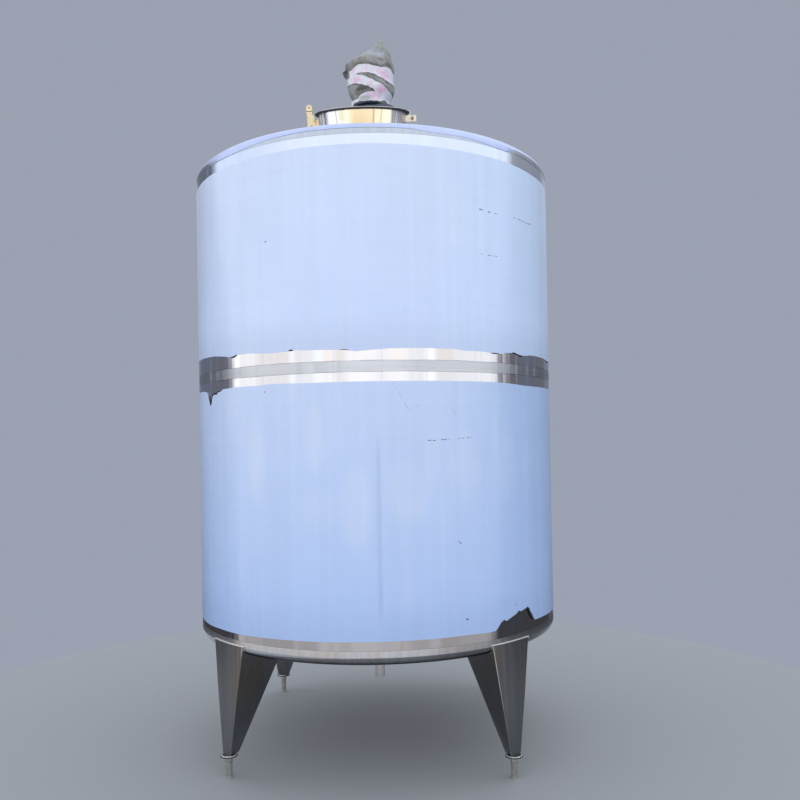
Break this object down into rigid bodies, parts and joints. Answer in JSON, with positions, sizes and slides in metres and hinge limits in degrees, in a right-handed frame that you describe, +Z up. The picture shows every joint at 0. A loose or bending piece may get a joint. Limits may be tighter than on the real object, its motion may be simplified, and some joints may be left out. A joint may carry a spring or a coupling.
{
  "type": "vertical stainless steel tank",
  "caption": "Upright round stainless steel tank on four legs, with a cone roof, hinged manhole, bottom outlet and a bagged agitator motor.",
  "frame": {"origin": "on the floor, under the middle of the tank, level with the undersides of the four feet", "axes": "+Z up along the tank's axis; -Y is the front, where the manhole is; +X is right, seen from the front"},
  "size_m": [1.804, 1.804, 3.637],
  "materials": {
    "polished_steel": "mirror polished stainless",
    "brushed_steel": "satin stainless",
    "weld": "ground weld",
    "film": "pale blue protective film",
    "pale_film": "paler protective film",
    "rubber": "matte black",
    "lug_steel": "warm toned polished steel",
    "blue_paint": "dark blue machine paint",
    "bag_cloth": "grey-green woven bag bound with tape"
  },
  "bodies": {
    "tank": {"shell_lower_front": "polished_steel", "shell_lower_back": "polished_steel", "shell_upper_front": "polished_steel", "shell_upper_back": "polished_steel", "girth_weld": "weld", "film_lower": "film", "film_upper": "pale_film", "roof_front": "polished_steel", "roof_back": "polished_steel", "bottom_head": "polished_steel", "outlet_pipe": "brushed_steel", "leg_front_left": "brushed_steel", "leg_front_right": "brushed_steel", "leg_back_left": "brushed_steel", "leg_back_right": "brushed_steel", "foot_plate_front_left": "brushed_steel", "foot_plate_front_right": "brushed_steel", "foot_plate_back_left": "brushed_steel", "foot_plate_back_right": "brushed_steel", "foot_nut_front_left": "brushed_steel", "foot_nut_front_right": "brushed_steel", "foot_nut_back_left": "brushed_steel", "foot_nut_back_right": "brushed_steel", "foot_screw_front_left": "brushed_steel", "foot_screw_front_right": "brushed_steel", "foot_screw_back_left": "brushed_steel", "foot_screw_back_right": "brushed_steel", "manhole_neck": "polished_steel", "manhole_gasket": "rubber", "hinge_bracket": "lug_steel", "hinge_pin": "brushed_steel", "clamp_bracket": "lug_steel", "clamp_pin": "brushed_steel", "agitator_pad": "brushed_steel", "agitator_stool": "brushed_steel", "gearbox": "blue_paint", "motor": "blue_paint", "motor_cover": "bag_cloth"},
    "lid": {"manhole_lid": "brushed_steel", "hinge_strap": "brushed_steel"},
    "clamp": {"clamp_arm": "lug_steel"}
  },
  "joints": [
    {"name": "lid_hinge", "type": "hinge", "parent": "tank", "child": "lid", "pos_m": [0.234, -0.49353, 3.00202], "axis": [0, 0.9659, 0.2588], "range_deg": [0, 110]},
    {"name": "clamp_swing", "type": "hinge", "parent": "tank", "child": "clamp", "pos_m": [-0.238, -0.48758, 2.97981], "axis": [0, -0.9659, -0.2588], "range_deg": [0, 75]}
  ]
}
